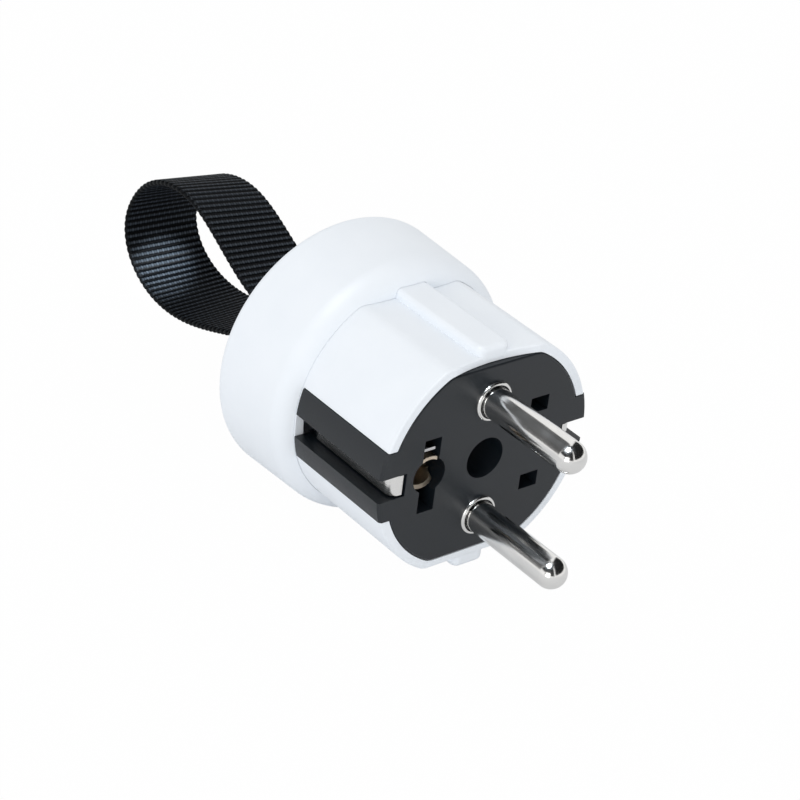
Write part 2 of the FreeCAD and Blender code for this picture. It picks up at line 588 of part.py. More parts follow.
def earth_socket_spring():
    """The flat clip that squeezes the sleeve's two leaves: the upper one is long and flares at the front."""
    inner = SOCKET_OUT + SEAT
    outer = inner + SPRING_THICK
    half = SPRING_WIDTH / 2
    end = SOCKET_END + EARTH_SOCKET_CONE + SEAT
    outline = [(SPRING_SHORT, -inner), (SPRING_SHORT, -outer), (end + SPRING_THICK, -outer),
               (end + SPRING_THICK, outer), (SPRING_TOUCH, outer), (SOCKET_FRONT, outer + SPRING_OPEN),
               (SOCKET_FRONT, inner + SPRING_OPEN), (SPRING_TOUCH, inner), (end, inner), (end, -inner)]
    corners = [Vector(-half - SPRING_SET, y, z) for y, z in outline]
    whole = Part.Face(Part.makePolygon(corners + corners[:1])).extrude(Vector(2 * half, 0, 0))
    plate = cylinder(EARTH_STEM_DIA / 2 + SPRING_EYE_WALL, end, end + SPRING_THICK)
    whole = fuse([whole, plate]).cut(cylinder(EARTH_STEM_DIA / 2 + SEAT, end - 1, end + 1 + SPRING_THICK))
    whole.translate(Vector(-EARTH_OFFSET, 0, 0))
    return whole


def earth_clamp_washer():
    """The square washer that holds the earth wire under its screw."""
    half = CLAMP_WASHER_SIDE / 2
    plate = box(EARTH_TERMINAL_OUT - half, EARTH_TERMINAL_OUT + half, BOW_BACK, BOW_BACK + CLAMP_WASHER_THICK,
                -half, half)
    plate = plate.makeFillet(0.6, [e for e in plate.Edges if abs(e.tangentAt(e.FirstParameter).y) > 0.99])
    hole = cylinder(TERMINAL_SCREW_DIA / 2 + FIT, BOW_BACK - 1, BOW_BACK + CLAMP_WASHER_THICK + 1,
                    EARTH_TERMINAL_OUT, 0)
    return plate.cut(hole)


def screw_washer():
    """The washer under the housing screw's head."""
    plate = cylinder(HOUSING_HEAD_DIA / 2 + FIT, SCREW_SINK_DEPTH - SCREW_WASHER_THICK, SCREW_SINK_DEPTH)
    return plate.cut(cylinder(HOUSING_SCREW_DIA / 2 + FIT, 0, SCREW_SINK_DEPTH + 1))


def housing_screw():
    """The long screw that pulls carrier, shell and cover together."""
    return slotted_screw(HOUSING_SCREW_DIA / 2, HOUSING_SCREW_LENGTH, HOUSING_HEAD_DIA / 2,
                         HOUSING_HEAD_HEIGHT, SCREW_SINK_DEPTH - SCREW_WASHER_THICK, 0, 0, -1)


def threaded_insert():
    """The brass sleeve in the cover's boss, with a waist that keeps it from pulling out."""
    r = INSERT_DIA / 2
    start, end = INSERT_FRONT, INSERT_FRONT + INSERT_LENGTH
    waist = r - 0.5
    third = INSERT_LENGTH / 3
    bore = HOUSING_SCREW_DIA / 2 + SEAT
    return revolve_about_y(
        [(bore, start), (r, start), (r, start + third), (waist, start + third + 0.5),
         (waist, end - third - 0.5), (r, end - third), (r, end), (bore, end)])


def strap_pin():
    """The steel cross pin that the webbing is looped round."""
    half = SLOT_HALF_X + CRADLE_WALL
    pin = cross_cylinder(STRAP_PIN_RADIUS, -half, half, STRAP_PIN_Y)
    return pin.makeChamfer(STRAP_PIN_EDGE, [e for e in pin.Edges if len(e.Vertexes) == 1])


def cord_clamp():
    """The grip bar over the cord, with a shallow arch and a pressing rib."""
    half = CLAMP_SCREW_UP + CLAMP_BOSS_DIA / 2
    start = CLAMP_FRONT - CLAMP_THICK
    bar = box(CLAMP_OUT - CLAMP_WIDTH / 2, CLAMP_OUT + CLAMP_WIDTH / 2, start, CLAMP_FRONT, -half, half)
    bar = bar.makeFillet(CLAMP_WIDTH * 0.44,
                         [e for e in bar.Edges if abs(e.tangentAt(e.FirstParameter).y) > 0.99])
    rib = box(CLAMP_OUT - CLAMP_RIB_WIDTH / 2, CLAMP_OUT + CLAMP_RIB_WIDTH / 2, CLAMP_FRONT - CLAMP_THICK / 4,
              CLAMP_FRONT + CLAMP_RIB_HEIGHT, -CORD_DIA * 0.4, CORD_DIA * 0.4)
    bar = fuse([bar, rib])
    hole = cylinder(CLAMP_SCREW_DIA / 2 + FIT, start - 1, CLAMP_FRONT + 1, CLAMP_OUT, CLAMP_SCREW_UP)
    return cut(bar, [hole, mirror_z(hole)])


def cord_clamp_screw():
    """The upper grip screw."""
    return slotted_screw(CLAMP_SCREW_DIA / 2, CLAMP_THICK + CLAMP_SCREW_BITE, CLAMP_HEAD_DIA / 2,
                         CLAMP_HEAD_HEIGHT, CLAMP_FRONT - CLAMP_THICK, CLAMP_OUT, CLAMP_SCREW_UP, -1)


def cord_grommet():
    """The ring in the side inlet, with a lip inside the wall."""
    bore = CORD_DIA / 2
    out = bore + GROMMET_WALL
    lip = out + GROMMET_LIP
    lip_end = math.sqrt(COVER_ROOM ** 2 - lip ** 2) - SEAT
    lip_start = lip_end - GROMMET_LIP_WIDTH
    end = COVER_REAR_RADIUS + GROMMET_PROUD
    ring = revolve_about_y([(bore, lip_start), (lip, lip_start), (lip, lip_end), (out, lip_end),
                            (out, end - GROMMET_EDGE), (out - GROMMET_EDGE, end), (bore, end)])
    ring.rotate(Vector(0, 0, 0), Vector(0, 0, 1), -90)
    ring.translate(Vector(0, INLET_Y, 0))
    return ring


def strap_middle_line(half_height, reach):
    """The webbing's middle line: once round the cross pin, then out and back along a drop-shaped loop."""
    start = Vector(0, STRAP_PIN_Y, STRAP_WRAP)
    end = Vector(0, STRAP_PIN_Y, -STRAP_WRAP)
    points = [start]
    for along, up in STRAP_SHAPE:
        points.append(Vector(0, STRAP_PIN_Y + along * reach, up * half_height))
    points.append(end)
    loop = Part.BSplineCurve()
    loop.interpolate(Points=points, InitialTangent=Vector(0, 1, 0), FinalTangent=Vector(0, -1, 0))
    wrap = Part.Arc(end, Vector(0, STRAP_PIN_Y - STRAP_WRAP, 0), start)
    return loop, wrap


def strap_stations(half_height, reach, count):
    """Points and outward normals, evenly spaced by rib, along the loop and then round the pin."""
    loop, wrap = strap_middle_line(half_height, reach)
    wrap_count = max(4, round(count * wrap.length() / (wrap.length() + loop.length())))
    stations = []
    for curve, steps in ((loop, count - wrap_count), (wrap, wrap_count)):
        for i in range(2 * steps):
            parameter = curve.parameterAtDistance(curve.length() * i / (2 * steps), curve.FirstParameter)
            tangent = curve.tangent(parameter)[0]
            normal = Vector(0, -tangent.z, tangent.y)
            stations.append((curve.value(parameter), normal))
    return stations


def ribbed_ring(stations, offset, rib, x):
    """A closed chain of small arcs, one a rib, at an offset from the middle line."""
    edges = []
    count = len(stations)
    for i in range(0, count, 2):
        ends = []
        for j, crown in ((i, 0.0), (i + 1, rib), ((i + 2) % count, 0.0)):
            point, normal = stations[j]
            place = point + normal * (offset + crown)
            ends.append(Vector(x, place.y, place.z))
        edges.append(Part.Arc(ends[0], ends[1], ends[2]).toShape())
    return edges


def strap_loop():
    """The ribbed webbing: a closed band, a little wider round at its -X edge than at its +X edge."""
    loop, wrap = strap_middle_line(STRAP_HALF, STRAP_REACH)
    count = round((loop.length() + wrap.length()) / STRAP_RIB_PITCH)
    half = STRAP_WIDTH / 2
    near = strap_stations(STRAP_HALF + STRAP_FLARE, STRAP_REACH + STRAP_FLARE, count)
    far = strap_stations(STRAP_HALF - STRAP_FLARE, STRAP_REACH - STRAP_FLARE, count)
    faces = []
    rims = {-half: [], half: []}
    for side in (1, -1):
        offset = side * STRAP_THICK / 2
        near_edges = ribbed_ring(near, offset, side * STRAP_RIB, -half)
        far_edges = ribbed_ring(far, offset, side * STRAP_RIB, half)
        for a, b in zip(near_edges, far_edges):
            faces.append(Part.makeRuledSurface(a, b))
        rims[-half].append(Part.Wire(near_edges))
        rims[half].append(Part.Wire(far_edges))
    for wires in rims.values():
        wires.sort(key=lambda wire: -wire.BoundBox.DiagonalLength)
        faces.append(Part.makeFace(wires, "Part::FaceMakerBullseye"))
    skin = Part.makeShell(faces)
    skin.sewShape()
    solid = Part.makeSolid(skin)
    if solid.Volume < 0:
        solid.reverse()
    return solid


def build():
    """Every sub-part by the name of its file."""
    pin = live_pin()
    pin_screw = terminal_screw(PIN_BOSS_END + PILLAR_LENGTH, 0, PIN_UP)
    grip_screw = cord_clamp_screw()
    return {
        "rear_cover": rear_cover(),
        "front_shell": front_shell(),
        "pin_carrier": pin_carrier(),
        "line_pin": pin,
        "neutral_pin": mirror_z(pin),
        "line_terminal_screw": pin_screw,
        "neutral_terminal_screw": mirror_z(pin_screw),
        "earth_bow": earth_bow(),
        "earth_socket": earth_socket(),
        "earth_socket_spring": earth_socket_spring(),
        "earth_clamp_washer": earth_clamp_washer(),
        "earth_terminal_screw": terminal_screw(BOW_BACK + CLAMP_WASHER_THICK, EARTH_TERMINAL_OUT, 0),
        "screw_washer": screw_washer(),
        "housing_screw": housing_screw(),
        "threaded_insert": threaded_insert(),
        "strap_pin": strap_pin(),
        "strap_loop": strap_loop(),
        "cord_clamp": cord_clamp(),
        "cord_clamp_screw_upper": grip_screw,
        "cord_clamp_screw_lower": mirror_z(grip_screw),
        "cord_grommet": cord_grommet(),
    }


def main():
    """Build each sub-part, check it and write its file."""
    os.makedirs("parts", exist_ok=True)
    for name, shape in build().items():
        solids = shape.Solids
        triangles = len(shape.tessellate(0.05)[1])
        print(f"{name:26s} solids {len(solids)} valid {shape.isValid()} volume {shape.Volume:9.2f} "
              f"triangles {triangles}")
        if len(solids) == 1:
            shape = solids[0]
        shape.exportStep(f"parts/{name}.step")


main()
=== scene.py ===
"""The looks of a round mains plug with a ribbed webbing pull loop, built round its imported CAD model.

Metres, in the frame of the CAD model: the origin is the middle of the engagement face, the pins point to -Y,
the cap is towards +Y, +Z runs along the line of the two pins and the earth hole is at -X.
"""
import logging
import math
from dataclasses import dataclass
from enum import Enum

import bpy
import numpy as np
from mathutils import Matrix, Vector


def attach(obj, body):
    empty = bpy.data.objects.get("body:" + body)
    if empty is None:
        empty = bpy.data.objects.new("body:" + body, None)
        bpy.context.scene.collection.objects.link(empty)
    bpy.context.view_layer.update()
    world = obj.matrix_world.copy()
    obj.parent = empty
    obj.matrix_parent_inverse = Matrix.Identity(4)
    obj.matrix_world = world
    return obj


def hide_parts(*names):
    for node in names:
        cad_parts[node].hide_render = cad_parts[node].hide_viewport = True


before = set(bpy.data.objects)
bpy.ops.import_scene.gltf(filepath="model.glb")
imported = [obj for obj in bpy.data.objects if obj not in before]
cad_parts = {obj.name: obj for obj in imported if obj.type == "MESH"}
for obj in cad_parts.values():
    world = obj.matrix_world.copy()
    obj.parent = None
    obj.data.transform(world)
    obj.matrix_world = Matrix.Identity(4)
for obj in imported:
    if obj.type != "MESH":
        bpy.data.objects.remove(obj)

LOG = logging.getLogger("plug")
MM = 0.001
LIE_UNIT = 100.0  # millimetres of webbing to one unit of its own coordinates

Colour = tuple[float, float, float]
Place = tuple[float, float, float]


class Body(Enum):
    """The bodies that a piece can ride on. A plug has no joint, so there is one."""

    WHOLE = "root"


class Slot(Enum):
    """The record's material slots."""

    HOUSING = "housing"
    CARRIER = "carrier"
    NICKEL = "nickel"
    ZINC_STEEL = "zinc_steel"
    SPRING_STEEL = "spring_steel"
    BRASS = "brass"
    WEBBING = "webbing"
    GROMMET = "grommet"


class Effect(Enum):
    """The shared shader groups."""

    GRAIN = "moulding_grain"
    TURNING = "turning_marks"
    WEAVE = "webbing_weave"


class GroupMaker:
    """Builds each shared shader group once and hands it out by name."""

    mottle_scale = 160.0
    bloom_scale = 320.0
    ring_scale = (300.0, 9000.0, 300.0)
    streak_scale = (2600.0, 60.0, 2600.0)
    fibre_scale = (1.6, 14.0, 1.0)
    fibre_share = 0.35
    low_yarn = 0.55
    high_yarn = 0.45

    def __init__(self) -> None:
        """Start with no group built."""
        self.made: dict[Effect, bpy.types.NodeTree] = {}

    def get(self, effect: Effect) -> bpy.types.NodeTree:
        """The group for an effect, built on its first use.

        Args:
            effect: which shared effect is wanted.

        Returns:
            The shader node group.
        """
        if effect not in self.made:
            makers = {Effect.GRAIN: self._grain, Effect.TURNING: self._turning, Effect.WEAVE: self._weave}
            tree = bpy.data.node_groups.new(effect.value, "ShaderNodeTree")
            makers[effect](tree)
            self.made[effect] = tree
        return self.made[effect]

    @staticmethod
    def sockets(tree: bpy.types.NodeTree, inputs: dict[str, float | None],
                outputs: tuple[str, ...]) -> tuple[bpy.types.Node, bpy.types.Node]:
        """Give a group its named inputs and outputs. An input that has no default is a vector.

        Args:
            tree: the group.
            inputs: the default of each input, by name.
            outputs: the names of the outputs, all of them single values.

        Returns:
            The group's input node and output node.
        """
        for name, default in inputs.items():
            kind = "NodeSocketVector" if default is None else "NodeSocketFloat"
            socket = tree.interface.new_socket(name=name, in_out="INPUT", socket_type=kind)
            if default is not None:
                socket.default_value = default
        for name in outputs:
            tree.interface.new_socket(name=name, in_out="OUTPUT", socket_type="NodeSocketFloat")
        return tree.nodes.new("NodeGroupInput"), tree.nodes.new("NodeGroupOutput")

    @staticmethod
    def calc(tree: bpy.types.NodeTree, operation: str, a: object, b: object = None,
             c: object = None) -> bpy.types.NodeSocket:
        """Add one Math node. Each of a, b and c is a socket or a number.

        Args:
            tree: the node tree to add to.
            operation: the Math node's operation.
            a: first value.
            b: second value, where the operation has one.
            c: third value, where the operation has one.

        Returns:
            The node's output socket.
        """
        node = tree.nodes.new("ShaderNodeMath")
        node.operation = operation
        for socket, value in zip(node.inputs, (a, b, c)):
            if isinstance(value, bpy.types.NodeSocket):
                tree.links.new(value, socket)
            elif value is not None:
                socket.default_value = value
        return node.outputs[0]

    @staticmethod
    def noise(tree: bpy.types.NodeTree, vector: bpy.types.NodeSocket, scale: object,
              detail: float) -> bpy.types.NodeSocket:
        """Add one Noise texture that reads the given vector.

        Args:
            tree: the node tree to add to.
            vector: the coordinates.
            scale: a socket or a number.
            detail: how many octaves.

        Returns:
            The noise value, about 0.5 in the mean.
        """
        node = tree.nodes.new("ShaderNodeTexNoise")
        tree.links.new(vector, node.inputs["Vector"])
        if isinstance(scale, bpy.types.NodeSocket):
            tree.links.new(scale, node.inputs["Scale"])
        else:
            node.inputs["Scale"].default_value = scale
        node.inputs["Detail"].default_value = detail
        return node.outputs["Fac"]

    @staticmethod
    def stretch(tree: bpy.types.NodeTree, vector: bpy.types.NodeSocket,
                scale: tuple[float, float, float]) -> bpy.types.NodeSocket:
        """Scale coordinates by one factor for each axis.

        Args:
            tree: the node tree to add to.
            vector: the coordinates.
            scale: the three factors.

        Returns:
            The scaled coordinates.
        """
        node = tree.nodes.new("ShaderNodeMapping")
        node.inputs["Scale"].default_value = scale
        tree.links.new(vector, node.inputs["Vector"])
        return node.outputs[0]

    def _uneven(self, tree: bpy.types.NodeTree, given: bpy.types.Node, first: bpy.types.NodeSocket,
                second: bpy.types.NodeSocket) -> bpy.types.NodeSocket:
        """The group's roughness, plus its spread times the sum of two noises less one.

        Args:
            tree: the group.
            given: the group's input node.
            first: one noise.
            second: the other noise.

        Returns:
            The roughness socket.
        """
        centred = self.calc(tree, "SUBTRACT", self.calc(tree, "ADD", first, second), 1.0)
        return self.calc(tree, "MULTIPLY_ADD", centred, given.outputs["Spread"], given.outputs["Roughness"])

    def _grain(self, tree: bpy.types.NodeTree) -> None:
        """Moulded plastic: a broad mottle for the colour, a fine grain in height, and both in roughness.

        Args:
            tree: the group to fill.
        """
        given, made = self.sockets(
            tree, {"Vector": None, "Grain size": 0.0004, "Roughness": 0.4, "Spread": 0.05},
            ("Height", "Roughness", "Mottle"))
        scale = self.calc(tree, "DIVIDE", 1.0, given.outputs["Grain size"])
        fine = self.noise(tree, given.outputs["Vector"], scale, 3.0)
        broad = self.noise(tree, given.outputs["Vector"], self.mottle_scale, 4.0)
        tree.links.new(fine, made.inputs["Height"])
        tree.links.new(self._uneven(tree, given, fine, broad), made.inputs["Roughness"])
        tree.links.new(broad, made.inputs["Mottle"])

    def _turning(self, tree: bpy.types.NodeTree) -> None:
        """Plated metal: fine rings round the Y axis, drawn streaks along it, and a soft handling bloom.

        Args:
            tree: the group to fill.
        """
        given, made = self.sockets(
            tree, {"Vector": None, "Roughness": 0.15, "Spread": 0.1, "Rings": 1.0, "Streaks": 1.0},
            ("Height", "Roughness", "Bloom"))
        across = self.stretch(tree, given.outputs["Vector"], self.ring_scale)
        lines = self.noise(tree, across, 1.0, 2.0)
        along = self.stretch(tree, given.outputs["Vector"], self.streak_scale)
        streaks = self.noise(tree, along, 1.0, 2.0)
        bloom = self.noise(tree, given.outputs["Vector"], self.bloom_scale, 4.0)
        drawn = self.calc(tree, "MULTIPLY", streaks, given.outputs["Streaks"])
        height = self.calc(tree, "MULTIPLY_ADD", lines, given.outputs["Rings"], drawn)
        tree.links.new(height, made.inputs["Height"])
        tree.links.new(self._uneven(tree, given, streaks, bloom), made.inputs["Roughness"])
        tree.links.new(bloom, made.inputs["Bloom"])

    def _weave(self, tree: bpy.types.NodeTree) -> None:
        """Ribbed webbing: warp yarns that pass over every other rib.

        The vector is (along, across, 0) in millimetres. A yarn is half a sine across its pitch, and it is lower
        on the ribs that it passes under.

        Args:
            tree: the group to fill.
        """
        given, made = self.sockets(
            tree, {"Vector": None, "Rib pitch": 1.3, "Yarn pitch": 0.45}, ("Height", "Yarn", "Fibre"))
        parts = tree.nodes.new("ShaderNodeSeparateXYZ")
        tree.links.new(given.outputs["Vector"], parts.inputs[0])
        rib = self.calc(tree, "DIVIDE", parts.outputs["X"], given.outputs["Rib pitch"])
        yarn = self.calc(tree, "DIVIDE", parts.outputs["Y"], given.outputs["Yarn pitch"])
        wave = self.calc(tree, "SINE", self.calc(tree, "MULTIPLY", yarn, math.pi))
        strand = self.calc(tree, "ABSOLUTE", wave)
        rib_number = self.calc(tree, "FLOOR", rib)
        yarn_number = self.calc(tree, "FLOOR", yarn)
        turn = self.calc(tree, "PINGPONG", self.calc(tree, "ADD", rib_number, yarn_number), 1.0)
        over = self.calc(tree, "MULTIPLY_ADD", turn, self.high_yarn, self.low_yarn)
        height = self.calc(tree, "MULTIPLY", strand, over)
        fibre = self.noise(tree, self.stretch(tree, given.outputs["Vector"], self.fibre_scale), 1.0, 3.0)
        fuzzy = self.calc(tree, "MULTIPLY_ADD", fibre, self.fibre_share, height)
        tree.links.new(fuzzy, made.inputs["Height"])
        tree.links.new(height, made.inputs["Yarn"])
        tree.links.new(fibre, made.inputs["Fibre"])


GROUPS = GroupMaker()


def new_material(name: str) -> tuple[bpy.types.Material, bpy.types.Node]:
    """An empty node material with its Principled shader.

    Args:
        name: the material's name.

    Returns:
        The material and its Principled BSDF node.
    """
    material = bpy.data.materials.new(name)
    material.use_nodes = True
    return material, material.node_tree.nodes["Principled BSDF"]


def add_group(tree: bpy.types.NodeTree, effect: Effect, values: dict[str, float]) -> bpy.types.Node:
    """Place a shared group in a material with its own values.

    Args:
        tree: the material's node tree.
        effect: the shared effect.
        values: what this material sets each named input to.

    Returns:
        The group node.
    """
    node = tree.nodes.new("ShaderNodeGroup")
    node.node_tree = GROUPS.get(effect)
    for name, value in values.items():
        node.inputs[name].default_value = value
    return node


def add_bump(tree: bpy.types.NodeTree, height: bpy.types.NodeSocket, shader: bpy.types.Node, strength: float,
             distance: float) -> None:
    """Turn a height into the shader's normal.

    Args:
        tree: the material's node tree.
        height: the socket that gives the height.
        shader: the Principled node.
        strength: the bump's strength.
        distance: the height's range in metres.
    """
    bump = tree.nodes.new("ShaderNodeBump")
    bump.inputs["Strength"].default_value = strength
    bump.inputs["Distance"].default_value = distance
    tree.links.new(height, bump.inputs["Height"])
    tree.links.new(bump.outputs["Normal"], shader.inputs["Normal"])


def add_blend(tree: bpy.types.NodeTree, mask: bpy.types.NodeSocket, low: Colour, high: Colour,
              start: float = 0.3, end: float = 0.7) -> bpy.types.NodeSocket:
    """A colour that goes from low to high as a mask goes from start to end.

    Args:
        tree: the material's node tree.
        mask: the socket that gives the mask.
        low: the colour at start.
        high: the colour at end.
        start: the mask value of the low colour.
        end: the mask value of the high colour.

    Returns:
        The colour socket.
    """
    ramp = tree.nodes.new("ShaderNodeValToRGB")
    ramp.color_ramp.elements[0].position = start
    ramp.color_ramp.elements[0].color = (*low, 1.0)
    ramp.color_ramp.elements[1].position = end
    ramp.color_ramp.elements[1].color = (*high, 1.0)
    tree.links.new(mask, ramp.inputs["Fac"])
    return ramp.outputs["Color"]


def add_cover(tree: bpy.types.NodeTree, mask: bpy.types.NodeSocket, under: bpy.types.NodeSocket,
              over: Colour) -> bpy.types.NodeSocket:
    """One colour laid over another where a mask says.

    Args:
        tree: the material's node tree.
        mask: the share of the colour on top.
        under: the socket of the colour below.
        over: the colour on top.

    Returns:
        The colour socket.
    """
    mix = tree.nodes.new("ShaderNodeMix")
    mix.data_type = "RGBA"
    tree.links.new(mask, mix.inputs["Factor"])
    tree.links.new(under, mix.inputs["A"])
    mix.inputs["B"].default_value = (*over, 1.0)
    return mix.outputs["Result"]


@dataclass(frozen=True)
class MouldedPlastic:
    """A moulded plastic with a faint mottle and a fine grain."""

    name: str
    low: Colour
    high: Colour
    roughness: float
    spread: float
    grain: float
    bump: float
    depth: float
    specular: float

    def material(self) -> bpy.types.Material:
        """Build the material.

        Returns:
            The material.
        """
        material, shader = new_material(self.name)
        tree = material.node_tree
        place = tree.nodes.new("ShaderNodeTexCoord")
        grain = add_group(tree, Effect.GRAIN, {"Grain size": self.grain, "Roughness": self.roughness,
                                               "Spread": self.spread})
        tree.links.new(place.outputs["Object"], grain.inputs["Vector"])
        colour = add_blend(tree, grain.outputs["Mottle"], self.low, self.high)
        tree.links.new(colour, shader.inputs["Base Color"])
        tree.links.new(grain.outputs["Roughness"], shader.inputs["Roughness"])
        add_bump(tree, grain.outputs["Height"], shader, self.bump, self.depth)
        shader.inputs["Specular IOR Level"].default_value = self.specular
        return material


@dataclass(frozen=True)
class WorkedMetal:
    """A turned, drawn or pressed metal with a bright or dull surface."""

    name: str
    low: Colour
    high: Colour
    roughness: float
    spread: float
    bump: float
    rings: float = 1.0
    streaks: float = 1.0
    mark_depth: float = 0.00001

    def colour(self, tree: bpy.types.NodeTree, place: bpy.types.Node,
               marks: bpy.types.Node) -> bpy.types.NodeSocket:
        """The colour socket: the metal's bloom.

        Args:
            tree: the material's node tree.
            place: the Texture Coordinate node; not used here.
            marks: the turning marks' group node.

        Returns:
            The colour socket.
        """
        return add_blend(tree, marks.outputs["Bloom"], self.low, self.high)

    def rough(self, tree: bpy.types.NodeTree, place: bpy.types.Node,
              marks: bpy.types.Node) -> bpy.types.NodeSocket:
        """The roughness socket: the turning marks' own.

        Args:
            tree: the material's node tree; not used here.
            place: the Texture Coordinate node; not used here.
            marks: the turning marks' group node.

        Returns:
            The roughness socket.
        """
        return marks.outputs["Roughness"]

    def material(self) -> bpy.types.Material:
        """Build the material.

        Returns:
            The material.
        """
        material, shader = new_material(self.name)
        tree = material.node_tree
        place = tree.nodes.new("ShaderNodeTexCoord")
        marks = add_group(tree, Effect.TURNING, {"Roughness": self.roughness, "Spread": self.spread,
                                                 "Rings": self.rings, "Streaks": self.streaks})
        tree.links.new(place.outputs["Object"], marks.inputs["Vector"])
        tree.links.new(self.colour(tree, place, marks), shader.inputs["Base Color"])
        tree.links.new(self.rough(tree, place, marks), shader.inputs["Roughness"])
        add_bump(tree, marks.outputs["Height"], shader, self.bump, self.mark_depth)
        shader.inputs["Metallic"].default_value = 1.0
        return material


@dataclass(frozen=True)
class PinPlate(WorkedMetal):
    """The pins' nickel, with painted shade in a thin near-black band between each pin's shank and the ring
    round its foot.
    """

    pin_up: float = 9.5
    # painted shade: a near-black band on the metal round each pin's shank, between the two radii below
    painted_shade_inner: float = 2.405
    painted_shade_outer: float = 2.66
    painted_shade_colour: Colour = (0.015, 0.015, 0.016)
    ring_rough: float = 0.05

    def _distance(self, tree: bpy.types.NodeTree, place: bpy.types.Node) -> bpy.types.NodeSocket:
        """How far a point lies from the axis of its pin, in metres.

        Args:
            tree: the material's node tree.
            place: the Texture Coordinate node.

        Returns:
            The distance socket.
        """
        parts = tree.nodes.new("ShaderNodeSeparateXYZ")
        tree.links.new(place.outputs["Object"], parts.inputs[0])
        from_middle = GroupMaker.calc(tree, "ABSOLUTE", parts.outputs["Z"])
        up = GroupMaker.calc(tree, "SUBTRACT", from_middle, self.pin_up * MM)
        side = GroupMaker.calc(tree, "POWER", parts.outputs["X"], 2.0)
        return GroupMaker.calc(tree, "SQRT", GroupMaker.calc(tree, "MULTIPLY_ADD", up, up, side))

    def rough(self, tree: bpy.types.NodeTree, place: bpy.types.Node,
              marks: bpy.types.Node) -> bpy.types.NodeSocket:
        """The roughness socket: the turning marks' own, and duller on the ring.

        Args:
            tree: the material's node tree.
            place: the Texture Coordinate node.
            marks: the turning marks' group node.

        Returns:
            The roughness socket.
        """
        on_ring = GroupMaker.calc(tree, "GREATER_THAN", self._distance(tree, place), self.painted_shade_outer * MM)
        return GroupMaker.calc(tree, "MULTIPLY_ADD", on_ring, self.ring_rough, marks.outputs["Roughness"])

    def colour(self, tree: bpy.types.NodeTree, place: bpy.types.Node,
               marks: bpy.types.Node) -> bpy.types.NodeSocket:
        """The colour socket: the bloom, and a band of painted shade round the shank where the distance from the
        pin's axis says so.

        Args:
            tree: the material's node tree.
            place: the Texture Coordinate node.
            marks: the turning marks' group node.

        Returns:
            The colour socket.
        """
        distance = self._distance(tree, place)
        # painted shade: near-black where the distance lies between the two radii, in place of the shade between
        # shank and ring
        outside = GroupMaker.calc(tree, "GREATER_THAN", distance, self.painted_shade_inner * MM)
        inside = GroupMaker.calc(tree, "LESS_THAN", distance, self.painted_shade_outer * MM)
        in_painted_shade = GroupMaker.calc(tree, "MULTIPLY", outside, inside)
        return add_cover(tree, in_painted_shade, super().colour(tree, place, marks), self.painted_shade_colour)


@dataclass(frozen=True)
class Webbing:
    """Black ribbed webbing: a pale bluish painted highlight on the rib crests, the grooves darkened below the
    black as painted shade, and darker weft turns at its edges, where no crest highlight is painted.
    """

    name: str = "black_webbing"
    # painted light: the first colour is the black webbing darkened into painted shade for the grooves, the
    # second a pale bluish painted highlight for the rib crests
    groove_shade: Colour = (0.0010, 0.0013, 0.0018)
    crest_highlight: Colour = (0.0490, 0.0590, 0.0730)
    turn: Colour = (0.005, 0.006, 0.007)
    groove_until: float = 0.56
    crest_from: float = 0.98
    yarn_share: float = 0.3
    fibre_spread: float = 0.25
    lowest_rough: float = 0.28
    yarn_bump: float = 0.5
    yarn_depth: float = 0.00006
    specular: float = 0.06
    gloss_stretch: float = 0.90
    gloss_turn: float = 0.25

    def material(self, rib_pitch: float, yarn_pitch: float) -> bpy.types.Material:
        """Build the material. Its gloss is stretched across the fibres, which run along the webbing.

        Args:
            rib_pitch: the ribs' pitch in millimetres.
            yarn_pitch: the yarns' pitch in millimetres.

        Returns:
            The material.
        """
        material, shader = new_material(self.name)
        tree = material.node_tree
        lie = tree.nodes.new("ShaderNodeUVMap")
        lie.uv_map = "lie"
        millimetres = GroupMaker.stretch(tree, lie.outputs["UV"], (LIE_UNIT, LIE_UNIT, 1.0))
        weave = add_group(tree, Effect.WEAVE, {"Rib pitch": rib_pitch, "Yarn pitch": yarn_pitch})
        tree.links.new(millimetres, weave.inputs["Vector"])
        crest_highlight = tree.nodes.new("ShaderNodeAttribute")
        crest_highlight.attribute_name = "crest_highlight"
        edge = tree.nodes.new("ShaderNodeAttribute")
        edge.attribute_name = "edge"
        # the crest mask, broken up by the yarns, ramps the colour from the grooves' painted shade to the
        # crests' painted highlight
        yarn = GroupMaker.calc(tree, "MULTIPLY_ADD", weave.outputs["Yarn"], self.yarn_share,
                               1.0 - self.yarn_share)
        lit = GroupMaker.calc(tree, "MULTIPLY", crest_highlight.outputs["Fac"], yarn)
        cloth = add_blend(tree, lit, self.groove_shade, self.crest_highlight, self.groove_until, self.crest_from)
        on_turn = GroupMaker.calc(tree, "MULTIPLY", edge.outputs["Fac"], crest_highlight.outputs["Fac"])
        tree.links.new(add_cover(tree, on_turn, cloth, self.turn), shader.inputs["Base Color"])
        rough = GroupMaker.calc(tree, "MULTIPLY_ADD", weave.outputs["Fibre"], self.fibre_spread,
                                self.lowest_rough)
        tree.links.new(rough, shader.inputs["Roughness"])
        add_bump(tree, weave.outputs["Height"], shader, self.yarn_bump, self.yarn_depth)
        shader.inputs["Specular IOR Level"].default_value = self.specular
        shader.inputs["Anisotropic"].default_value = self.gloss_stretch
        shader.inputs["Anisotropic Rotation"].default_value = self.gloss_turn
        along = tree.nodes.new("ShaderNodeTangent")
        along.direction_type = "UV_MAP"
        along.uv_map = "lie"
        tree.links.new(along.outputs[0], shader.inputs["Tangent"])
        return material


